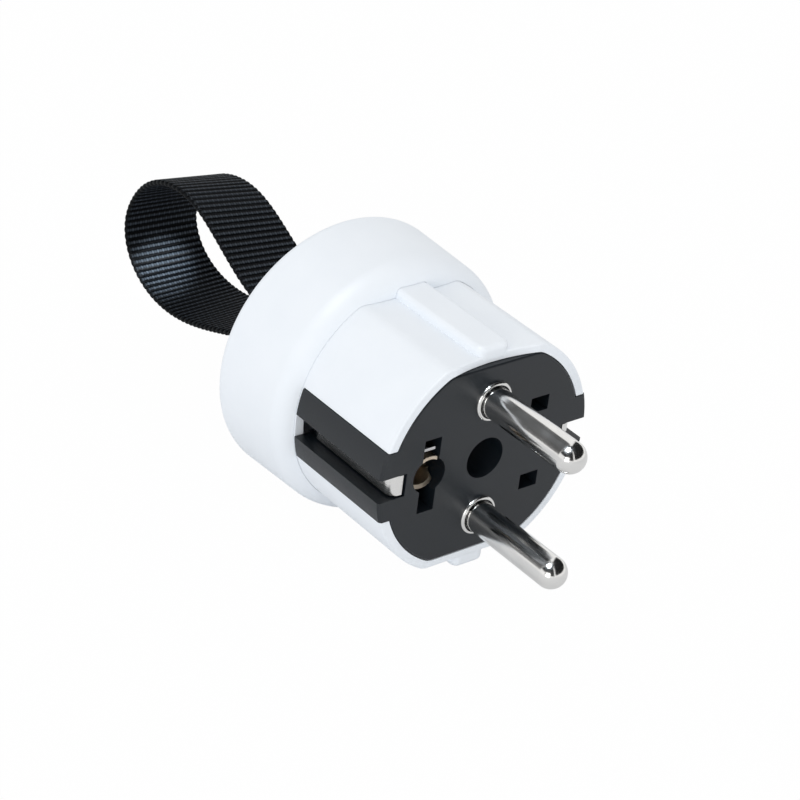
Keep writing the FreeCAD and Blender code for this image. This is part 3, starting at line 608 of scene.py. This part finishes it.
FINISHES = {
    Slot.HOUSING: MouldedPlastic(
        name="white_plastic", low=(0.850, 0.892, 0.940), high=(0.870, 0.910, 0.955), roughness=0.48,
        spread=0.06, grain=0.00035, bump=0.10, depth=0.00002, specular=0.18),
    Slot.CARRIER: MouldedPlastic(
        name="black_plastic", low=(0.0055, 0.0085, 0.0120), high=(0.0070, 0.0105, 0.0150), roughness=0.38,
        spread=0.16, grain=0.00030, bump=0.45, depth=0.00002, specular=0.50),
    Slot.NICKEL: PinPlate(
        name="nickel_plate", low=(0.76, 0.755, 0.74), high=(0.84, 0.83, 0.81), roughness=0.16, spread=0.12,
        bump=0.8, rings=0.15, streaks=1.0),
    Slot.ZINC_STEEL: WorkedMetal(
        name="zinc_plate", low=(0.58, 0.60, 0.63), high=(0.70, 0.71, 0.73), roughness=0.30, spread=0.15,
        bump=0.3),
    Slot.SPRING_STEEL: WorkedMetal(
        name="spring_steel", low=(0.60, 0.60, 0.61), high=(0.74, 0.74, 0.74), roughness=0.22, spread=0.12,
        bump=0.3),
    Slot.BRASS: WorkedMetal(
        name="turned_brass", low=(0.70, 0.50, 0.22), high=(0.80, 0.62, 0.32), roughness=0.25, spread=0.12,
        bump=0.3),
    Slot.GROMMET: MouldedPlastic(
        name="soft_grommet", low=(0.022, 0.022, 0.024), high=(0.032, 0.032, 0.034), roughness=0.62,
        spread=0.10, grain=0.00025, bump=0.5, depth=0.00004, specular=0.35),
}


def dress(node: str, material: bpy.types.Material) -> None:
    """Give a CAD node its material.

    Args:
        node: the node's name.
        material: what it gets.
    """
    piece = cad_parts[node]
    if not piece.material_slots:
        piece.data.materials.append(material)
    for slot in piece.material_slots:
        slot.material = material


def grid_piece(name: str, verts: np.ndarray, faces: np.ndarray) -> bpy.types.Object:
    """A smooth mesh object from arrays.

    Args:
        name: the piece's name.
        verts: n by 3 array of points in metres.
        faces: array of point numbers, one row a face.

    Returns:
        The object, linked to the scene.
    """
    mesh = bpy.data.meshes.new(name)
    mesh.from_pydata(verts.tolist(), [], faces.tolist())
    mesh.polygons.foreach_set("use_smooth", np.ones(len(faces), dtype=bool))
    mesh.update()
    piece = bpy.data.objects.new(name, mesh)
    bpy.context.scene.collection.objects.link(piece)
    return piece


class SubAssembly:
    """Pieces of the CAD model that come off the bench together."""

    pieces: tuple[tuple[str, Slot], ...] = ()

    def finish(self, node: str, slot: Slot) -> MouldedPlastic | WorkedMetal:
        """The finish of a piece: its slot's own.

        Args:
            node: the piece's node name; not used here.
            slot: its material slot.

        Returns:
            The finish.
        """
        return FINISHES[slot]

    def dress(self, made: dict[str, bpy.types.Material]) -> None:
        """Give each piece its finish, and build each material once.

        Args:
            made: the materials built so far, by name.
        """
        for node, slot in self.pieces:
            finish = self.finish(node, slot)
            if finish.name not in made:
                made[finish.name] = finish.material()
            dress(node, made[finish.name])
            LOG.info("%s: %s", node, finish.name)


@dataclass
class Housing(SubAssembly):
    """The two white shells, the screw that holds them together, and the cross pin of the loop."""

    pieces: tuple[tuple[str, Slot], ...] = (
        ("rear_cover", Slot.HOUSING), ("front_shell", Slot.HOUSING), ("housing_screw", Slot.ZINC_STEEL),
        ("screw_washer", Slot.ZINC_STEEL), ("threaded_insert", Slot.BRASS), ("strap_pin", Slot.SPRING_STEEL))


@dataclass
class PinSet(SubAssembly):
    """The black carrier with its two plated pins and their terminal screws."""

    pieces: tuple[tuple[str, Slot], ...] = (
        ("pin_carrier", Slot.CARRIER), ("line_pin", Slot.NICKEL), ("neutral_pin", Slot.NICKEL),
        ("line_terminal_screw", Slot.ZINC_STEEL), ("neutral_terminal_screw", Slot.ZINC_STEEL))


@dataclass
class EarthContacts(SubAssembly):
    """The bow with its side contacts, the sleeve behind the face with its clip, and the earth terminal."""

    pieces: tuple[tuple[str, Slot], ...] = (
        ("earth_bow", Slot.NICKEL), ("earth_socket", Slot.BRASS), ("earth_socket_spring", Slot.SPRING_STEEL),
        ("earth_terminal_screw", Slot.ZINC_STEEL), ("earth_clamp_washer", Slot.ZINC_STEEL))
    sleeve: WorkedMetal = WorkedMetal(
        name="pressed_bronze", low=(0.66, 0.56, 0.44), high=(0.78, 0.68, 0.55), roughness=0.42, spread=0.14,
        bump=0.6)

    def finish(self, node: str, slot: Slot) -> MouldedPlastic | WorkedMetal:
        """The finish of a piece: the sleeve's is pressed bronze, and the rest keep their slot's.

        Args:
            node: the piece's node name.
            slot: its material slot.

        Returns:
            The finish.
        """
        return self.sleeve if node == "earth_socket" else FINISHES[slot]


@dataclass
class CordEntry(SubAssembly):
    """The soft ring in the cord's inlet, and the bar that grips the cord with its two screws."""

    pieces: tuple[tuple[str, Slot], ...] = (
        ("cord_grommet", Slot.GROMMET), ("cord_clamp", Slot.CARRIER),
        ("cord_clamp_screw_upper", Slot.ZINC_STEEL), ("cord_clamp_screw_lower", Slot.ZINC_STEEL))


@dataclass
class PullLoop:
    """The webbing loop: a closed ribbed band, once round the cross pin and then out and back as a drop.

    Sizes are in millimetres. A point of the shape is how far it lies behind the pin, as a share of the reach,
    and how high, as a share of half the loop's height. The band's two edges follow curves that differ by the
    flare.
    """

    width: float = 13.0
    thick: float = 0.75
    rib_low: float = -0.07
    rib_high: float = 0.11
    rib_power: float = 0.9
    rib_swell: float = 0.08
    rib_pitch: float = 1.1
    yarn_pitch: float = 0.46
    edge_lead: float = 0.12
    edge_fade: float = 0.35
    reach: float = 53.0
    half_height: float = 10.2
    flare: float = 0.6
    pin_y: float = 31.6
    wrap: float = 2.025
    steps_a_rib: int = 6
    steps_across: int = 44
    steps_round: int = 5
    probe_steps: int = 3000
    probe_turn_steps: int = 300
    fine_steps: int = 4000
    fewest_wrap_ribs: int = 4
    finish: Webbing = Webbing()
    shape: tuple[tuple[float, float], ...] = (
        (0.240, 0.195), (0.377, 0.365), (0.536, 0.767), (0.673, 1.033), (0.869, 0.846), (0.959, 0.393),
        (0.992, -0.172), (0.964, -0.541), (0.878, -0.864), (0.801, -0.960), (0.588, -0.835),
        (0.395, -0.502), (0.250, -0.290))

    def _spline(self, points: np.ndarray, first: np.ndarray, last: np.ndarray, count: int) -> np.ndarray:
        """A smooth curve through points, with given directions at its ends.

        The second derivatives of a clamped cubic, whose parameter is the chord length, solve one linear
        system. The curve is then read at many parameters and thinned to even steps of length.

        Args:
            points: n by 2 array of points.
            first: direction at the first point.
            last: direction at the last point.
            count: how many even steps of length.

        Returns:
            count + 1 points, evenly spaced.
        """
        chord = np.linalg.norm(np.diff(points, axis=0), axis=1)
        t = np.concatenate([[0.0], np.cumsum(chord)])
        n = len(points)
        system = np.zeros((n, n))
        right = np.zeros((n, 2))
        slope = np.diff(points, axis=0) / chord[:, None]
        rows = np.arange(1, n - 1)
        system[rows, rows - 1] = chord[:-1]
        system[rows, rows] = 2 * (chord[:-1] + chord[1:])
        system[rows, rows + 1] = chord[1:]
        right[1:-1] = 6 * np.diff(slope, axis=0)
        system[0, :2] = 2 * chord[0], chord[0]
        right[0] = 6 * (slope[0] - first)
        system[-1, -2:] = chord[-1], 2 * chord[-1]
        right[-1] = 6 * (last - slope[-1])
        second = np.linalg.solve(system, right)
        fine = np.linspace(0, t[-1], self.fine_steps)
        k = np.clip(np.searchsorted(t, fine, side="right") - 1, 0, n - 2)
        h = chord[k][:, None]
        a = (t[k + 1] - fine)[:, None] / h
        b = 1 - a
        bend = (a ** 3 - a) * second[k] + (b ** 3 - b) * second[k + 1]
        curve = a * points[k] + b * points[k + 1] + bend * h ** 2 / 6
        step = np.linalg.norm(np.diff(curve, axis=0), axis=1)
        length = np.concatenate([[0.0], np.cumsum(step)])
        even = np.linspace(0, length[-1], count + 1)
        return np.stack([np.interp(even, length, curve[:, i]) for i in (0, 1)], axis=1)

    def _edge_line(self, flare: float, loop_steps: int, wrap_steps: int) -> np.ndarray:
        """One edge's middle line: the drop-shaped loop, then the half turn round the pin, as (y, z) points.

        Args:
            flare: how much further out this edge goes than the middle, in reach and in half height.
            loop_steps: steps along the loop.
            wrap_steps: steps round the pin.

        Returns:
            A closed ring of points, the first not repeated.
        """
        reach, half_height = self.reach + flare, self.half_height + flare
        start = np.array([self.pin_y, self.wrap])
        end = np.array([self.pin_y, -self.wrap])
        inner = np.array([(self.pin_y + along * reach, up * half_height) for along, up in self.shape])
        outwards, back = np.array([1.0, 0.0]), np.array([-1.0, 0.0])
        loop = self._spline(np.vstack([start, inner, end]), outwards, back, loop_steps)
        angle = np.linspace(-math.pi / 2, -1.5 * math.pi, wrap_steps + 1)
        turn = np.stack([self.pin_y + self.wrap * np.cos(angle), self.wrap * np.sin(angle)], axis=1)
        return np.vstack([loop[:-1], turn[:-1]])

    def _counts(self) -> tuple[int, int]:
        """How many ribs the band has: its length over the rib pitch, shared by the length of its two parts.

        Returns:
            The ribs along the loop and the ribs round the pin.
        """
        probe = self._edge_line(0.0, self.probe_steps, self.probe_turn_steps)
        ring = np.vstack([probe, probe[:1]])
        step = np.linalg.norm(np.diff(ring, axis=0), axis=1)
        total = round(step.sum() / self.rib_pitch)
        round_pin = max(self.fewest_wrap_ribs, round(total * step[self.probe_steps:].sum() / step.sum()))
        return total - round_pin, round_pin

    @staticmethod
    def _normals(line: np.ndarray) -> np.ndarray:
        """Unit outward normals of a closed ring, each square to the chord between the point's neighbours.

        Args:
            line: the ring's (y, z) points.

        Returns:
            One normal for each point.
        """
        tangent = np.roll(line, -1, axis=0) - np.roll(line, 1, axis=0)
        tangent /= np.linalg.norm(tangent, axis=1)[:, None]
        return np.stack([-tangent[:, 1], tangent[:, 0]], axis=1)

    def _section(self) -> tuple[np.ndarray, np.ndarray, np.ndarray]:
        """The band's cross-section: two flats joined by round edges.

        Returns:
            For each point round the section: how far across it lies in millimetres, its height as a share of
            half the thickness, and how much it belongs to the edge.
        """
        bead = self.thick / 2
        half = self.width / 2 - bead
        flat = np.linspace(-half, half, self.steps_across + 1)
        angle = np.linspace(math.pi / 2, -math.pi / 2, self.steps_round + 2)[1:-1]
        round_edge = half + bead * np.cos(angle)
        across = np.concatenate([flat, round_edge, flat[::-1], -round_edge])
        height = np.concatenate([np.ones_like(flat), np.sin(angle), -np.ones_like(flat), -np.sin(angle)])
        edge = np.clip((np.abs(across) - half + self.edge_lead) / self.edge_fade, 0, 1)
        return across, height, edge

    def _surface(self) -> tuple[np.ndarray, np.ndarray]:
        """The band's points as a grid: stations along it by points round its section.

        A point is the middle line at its station, plus the outward normal times its share of the rib's half
        thickness. The half thickness is a rounded wave, a power of a half sine for each rib. Line and normal
        go straight from one edge's to the other's across the band.

        Returns:
            The points in metres as a stations by section by 3 array, and the wave at each station.
        """
        loop_ribs, wrap_ribs = self._counts()
        steps = loop_ribs * self.steps_a_rib, wrap_ribs * self.steps_a_rib
        near = self._edge_line(self.flare, *steps)
        far = self._edge_line(-self.flare, *steps)
        across, height, edge = self._section()
        share = (across / self.width + 0.5)[None, :, None]
        line = near[:, None, :] * (1 - share) + far[:, None, :] * share
        normal = self._normals(near)[:, None, :] * (1 - share) + self._normals(far)[:, None, :] * share
        normal /= np.linalg.norm(normal, axis=2)[:, :, None]
        phase = np.arange(len(near)) / self.steps_a_rib
        wave = np.abs(np.sin(math.pi * phase)) ** self.rib_power
        half_thick = self.thick / 2 + self.rib_low + (self.rib_high - self.rib_low) * wave
        place = line + normal * (half_thick[:, None] * height[None, :])[:, :, None]
        swell = (wave[:, None] - 1) * self.rib_swell * edge[None, :] * np.sign(across)[None, :]
        return np.stack([across[None, :] + swell, place[:, :, 0], place[:, :, 1]], axis=2) * MM, wave

    def _lay(self, piece: bpy.types.Object, wave: np.ndarray, i: np.ndarray, j: np.ndarray) -> None:
        """Give the band its own coordinates, along and across it, its crest mask, which places the painted
        highlight and the painted shade, and its edge mask.

        Args:
            piece: the band.
            wave: the rib wave at each station.
            i: each face's station.
            j: each face's place round the section.
        """
        across, _, edge = self._section()
        length = np.arange(len(wave) + 1) * self.rib_pitch / self.steps_a_rib
        around = np.concatenate([across, across[:1]])
        u = np.stack([length[i], length[i], length[i + 1], length[i + 1]], axis=2)
        v = np.stack([around[j], around[j + 1], around[j + 1], around[j]], axis=2)
        layer = piece.data.uv_layers.new(name="lie")
        layer.data.foreach_set("uv", (np.stack([u, v], axis=3) / LIE_UNIT).astype(np.float32).ravel())
        for name, values in (("crest_highlight", np.repeat(wave, len(across))), ("edge", np.tile(edge, len(wave)))):
            attribute = piece.data.attributes.new(name, "FLOAT", "POINT")
            attribute.data.foreach_set("value", values.astype(np.float32))

    def build(self) -> bpy.types.Object:
        """Make the band as one closed grid and dress it.

        Returns:
            The finished piece.
        """
        grid, wave = self._surface()
        n, m = grid.shape[:2]
        i, j = np.meshgrid(np.arange(n), np.arange(m), indexing="ij")
        i2, j2 = (i + 1) % n, (j + 1) % m
        faces = np.stack([i * m + j, i * m + j2, i2 * m + j2, i2 * m + j], axis=2).reshape(-1, 4)
        piece = grid_piece("strap_webbing", grid.reshape(-1, 3), faces)
        self._lay(piece, wave, i, j)
        piece.data.materials.append(self.finish.material(self.rib_pitch, self.yarn_pitch))
        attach(piece, Body.WHOLE.value)
        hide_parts("strap_loop")
        return piece


@dataclass(frozen=True)
class Card:
    """A dark card of the studio, which only mirror reflections see: a patch of a sphere's skin.

    Azimuths go from +X towards +Y and heights up from the horizon, both in degrees. The distance is in metres.
    """

    name: str
    azimuths: tuple[float, float]
    heights: tuple[float, float]
    shade: float = 0.02
    distance: float = 1.5
    steps_along: int = 32
    steps_up: int = 24

    def build(self) -> None:
        """Make the card: a point is the distance times the unit vector at an azimuth and a height."""
        low, high = np.radians(self.azimuths), np.radians(self.heights)
        azimuth, height = np.meshgrid(np.linspace(low[0], low[1], self.steps_along + 1),
                                      np.linspace(high[0], high[1], self.steps_up + 1), indexing="ij")
        place = self.distance * np.stack([np.cos(azimuth) * np.cos(height), np.sin(azimuth) * np.cos(height),
                                          np.sin(height)], axis=2)
        i, j = np.meshgrid(np.arange(self.steps_along), np.arange(self.steps_up), indexing="ij")
        row = self.steps_up + 1
        quads = np.stack([i * row + j, i * row + j + 1, (i + 1) * row + j + 1, (i + 1) * row + j], axis=2)
        card = grid_piece(self.name, place.reshape(-1, 3), quads.reshape(-1, 4))
        material, shader = new_material(self.name + "_cloth")
        shader.inputs["Base Color"].default_value = (self.shade, self.shade, self.shade, 1.0)
        shader.inputs["Roughness"].default_value = 1.0
        shader.inputs["Specular IOR Level"].default_value = 0.0
        card.data.materials.append(material)
        card.visible_camera = False
        card.visible_diffuse = False
        card.visible_shadow = False
        card.visible_transmission = False


@dataclass(frozen=True)
class Lamp:
    """A lamp that faces a point of the plug. Places are in metres."""

    name: str
    place: Place
    watts: float
    aim: Place = (0.0, 0.01, 0.0)
    colour: Colour = (1.0, 1.0, 1.0)

    def stand(self, data: bpy.types.Light) -> bpy.types.Object:
        """Place the lamp and turn it to its point.

        Args:
            data: the light that it holds.

        Returns:
            The lamp.
        """
        data.energy = self.watts
        data.color = self.colour
        lamp = bpy.data.objects.new(self.name, data)
        lamp.location = self.place
        lamp.rotation_mode = "QUATERNION"
        lamp.rotation_quaternion = (Vector(self.aim) - Vector(self.place)).to_track_quat("-Z", "Y")
        bpy.context.scene.collection.objects.link(lamp)
        return lamp


@dataclass(frozen=True)
class SoftLamp(Lamp):
    """A square lamp. One that only reflections see gives highlights and no other light."""

    side: float = 0.3
    gloss_only: bool = False

    def build(self) -> None:
        """Make the lamp."""
        data = bpy.data.lights.new(self.name, "AREA")
        data.size = self.side
        lamp = self.stand(data)
        lamp.visible_diffuse = not self.gloss_only


@dataclass(frozen=True)
class FocusedLamp(Lamp):
    """A small lamp with a narrow cone, in degrees, whose rim is soft."""

    cone: float = 1.4
    radius: float = 0.001

    def build(self) -> None:
        """Make the lamp."""
        data = bpy.data.lights.new(self.name, "SPOT")
        data.spot_size = math.radians(self.cone)
        data.spot_blend = 1.0
        data.shadow_soft_size = self.radius
        self.stand(data)


@dataclass
class Studio:
    """The camera at the photograph's angle, a white room, dark cards, lamps and the floor."""

    turn: tuple[float, float, float] = (2.0505611, -0.6237064, 0.4987534)
    shift: tuple[float, float, float] = (11.9743, 8.1687, 367.6403)
    focal_pixels: float = 2600.0
    image_width: int = 800
    sensor: float = 36.0
    nearest: float = 0.01
    farthest: float = 20.0
    world_light: float = 0.91
    mirror_share: float = 0.2
    floor_z: float = -21.25
    floor_white: float = 0.985
    floor_shade: Colour = (0.75, 0.757, 0.77)
    floor_rough: float = 0.9
    floor_inner: float = 0.05
    floor_outer: float = 3.0
    floor_rings: int = 12
    floor_spokes: int = 96
    cards: tuple[Card, ...] = (
        Card("back_card", (62.0, 145.0), (8.0, 75.0), 0.13),
        Card("side_card", (-100.0, 34.0), (12.0, 76.0)),
        Card("front_card", (-170.0, -108.0), (6.0, 76.0)),
        Card("left_card", (148.0, 190.0), (24.0, 76.0)),
        Card("ceiling_card", (0.0, 360.0), (74.0, 90.0)))
    lamps: tuple[SoftLamp | FocusedLamp, ...] = (
        SoftLamp("key_lamp", (-0.62, -0.36, 0.12), 1.15, side=0.35),
        SoftLamp("top_lamp", (-0.25, 0.02, 0.66), 8.0, colour=(0.84, 0.92, 1.0), side=0.24, gloss_only=True),
        FocusedLamp("loop_lamp", (-0.2458, -0.2726, 0.2501), 52.0, aim=(-0.0020, 0.0796, -0.0077),
                    colour=(0.88, 0.96, 1.0)))

    def camera(self) -> None:
        """Place the camera: a turn vector gives its rotation, and the shift puts the plug before the lens."""
        angle = float(np.linalg.norm(self.turn))
        kx, ky, kz = np.array(self.turn) / angle
        cross = np.array([[0, -kz, ky], [kz, 0, -kx], [-ky, kx, 0]])
        rotation = np.eye(3) + math.sin(angle) * cross + (1 - math.cos(angle)) * cross @ cross
        eye = -rotation.T @ np.array(self.shift) * MM
        data = bpy.data.cameras.new("camera")
        data.sensor_width = self.sensor
        data.lens = self.focal_pixels * self.sensor / self.image_width
        data.clip_start = self.nearest
        data.clip_end = self.farthest
        camera = bpy.data.objects.new("camera", data)
        columns = np.stack([rotation[0], -rotation[1], -rotation[2]], axis=1)
        camera.matrix_world = Matrix.Translation(Vector(eye)) @ Matrix(columns.tolist()).to_4x4()
        bpy.context.scene.collection.objects.link(camera)
        bpy.context.scene.camera = camera

    @staticmethod
    def _seen(tree: bpy.types.NodeTree, plain: float, mirrored: float) -> bpy.types.NodeSocket:
        """A share for rays from the camera, another for rays that a gloss sends on, and 0 for the rest.

        Args:
            tree: the material's node tree.
            plain: the camera rays' share.
            mirrored: the share of mirrored and transmitted rays.

        Returns:
            The share.
        """
        path = tree.nodes.new("ShaderNodeLightPath")
        sent_on = GroupMaker.calc(tree, "MAXIMUM", path.outputs["Is Glossy Ray"],
                                  path.outputs["Is Transmission Ray"])
        plain_part = GroupMaker.calc(tree, "MULTIPLY", path.outputs["Is Camera Ray"], plain)
        sent_part = GroupMaker.calc(tree, "MULTIPLY", sent_on, mirrored)
        return GroupMaker.calc(tree, "MAXIMUM", plain_part, sent_part)

    def world(self) -> None:
        """A white room that lights softly and shows as plain white."""
        world = bpy.data.worlds.new("room")
        world.use_nodes = True
        tree = world.node_tree
        back = tree.nodes["Background"]
        back.inputs["Color"].default_value = (1.0, 1.0, 1.0, 1.0)
        seen = self._seen(tree, 1.0, 1.0)
        strength = GroupMaker.calc(tree, "MULTIPLY_ADD", seen, 1.0 - self.world_light, self.world_light)
        tree.links.new(strength, back.inputs["Strength"])
        bpy.context.scene.world = world

    def floor(self) -> None:
        """A pale floor: a disc of rings with an even step, white to the camera but for a faint shadow."""
        rings, spokes = self.floor_rings, self.floor_spokes
        radius = np.linspace(self.floor_inner, self.floor_outer, rings)
        angle = np.linspace(0, 2 * math.pi, spokes, endpoint=False)
        x = radius[:, None] * np.cos(angle)[None, :]
        y = radius[:, None] * np.sin(angle)[None, :]
        verts = np.stack([x.ravel(), y.ravel(), np.full(x.size, self.floor_z * MM)], axis=1)
        i, j = np.meshgrid(np.arange(rings - 1), np.arange(spokes), indexing="ij")
        j2 = (j + 1) % spokes
        inner, outer = i * spokes, (i + 1) * spokes
        quads = np.stack([inner + j, outer + j, outer + j2, inner + j2], axis=2)
        mesh = bpy.data.meshes.new("floor")
        mesh.from_pydata(verts.tolist(), [], quads.reshape(-1, 4).tolist() + [list(range(spokes))])
        floor = bpy.data.objects.new("floor", mesh)
        bpy.context.scene.collection.objects.link(floor)
        material, shader = new_material("pale_floor")
        tree = material.node_tree
        shader.inputs["Base Color"].default_value = (*self.floor_shade, 1.0)
        shader.inputs["Roughness"].default_value = self.floor_rough
        glow = tree.nodes.new("ShaderNodeEmission")
        glow.inputs["Color"].default_value = (1.0, 1.0, 1.0, 1.0)
        mix = tree.nodes.new("ShaderNodeMixShader")
        tree.links.new(self._seen(tree, self.floor_white, self.mirror_share), mix.inputs["Fac"])
        tree.links.new(shader.outputs[0], mix.inputs[1])
        tree.links.new(glow.outputs[0], mix.inputs[2])
        tree.links.new(mix.outputs[0], tree.nodes["Material Output"].inputs["Surface"])
        mesh.materials.append(material)

    def build(self) -> None:
        """Set up camera, room, floor, cards and lamps."""
        self.camera()
        self.world()
        self.floor()
        for thing in (*self.cards, *self.lamps):
            thing.build()
        bpy.context.scene.view_settings.view_transform = "Standard"


def main() -> None:
    """Build the studio, dress the CAD nodes and add the webbing loop."""
    logging.basicConfig(level=logging.INFO, format="%(message)s")
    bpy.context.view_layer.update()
    Studio().build()
    made: dict[str, bpy.types.Material] = {}
    for group in (Housing(), PinSet(), EarthContacts(), CordEntry()):
        group.dress(made)
    loop = PullLoop().build()
    LOG.info("%s: %d faces", loop.name, len(loop.data.polygons))


if __name__ == "__main__":
    main()
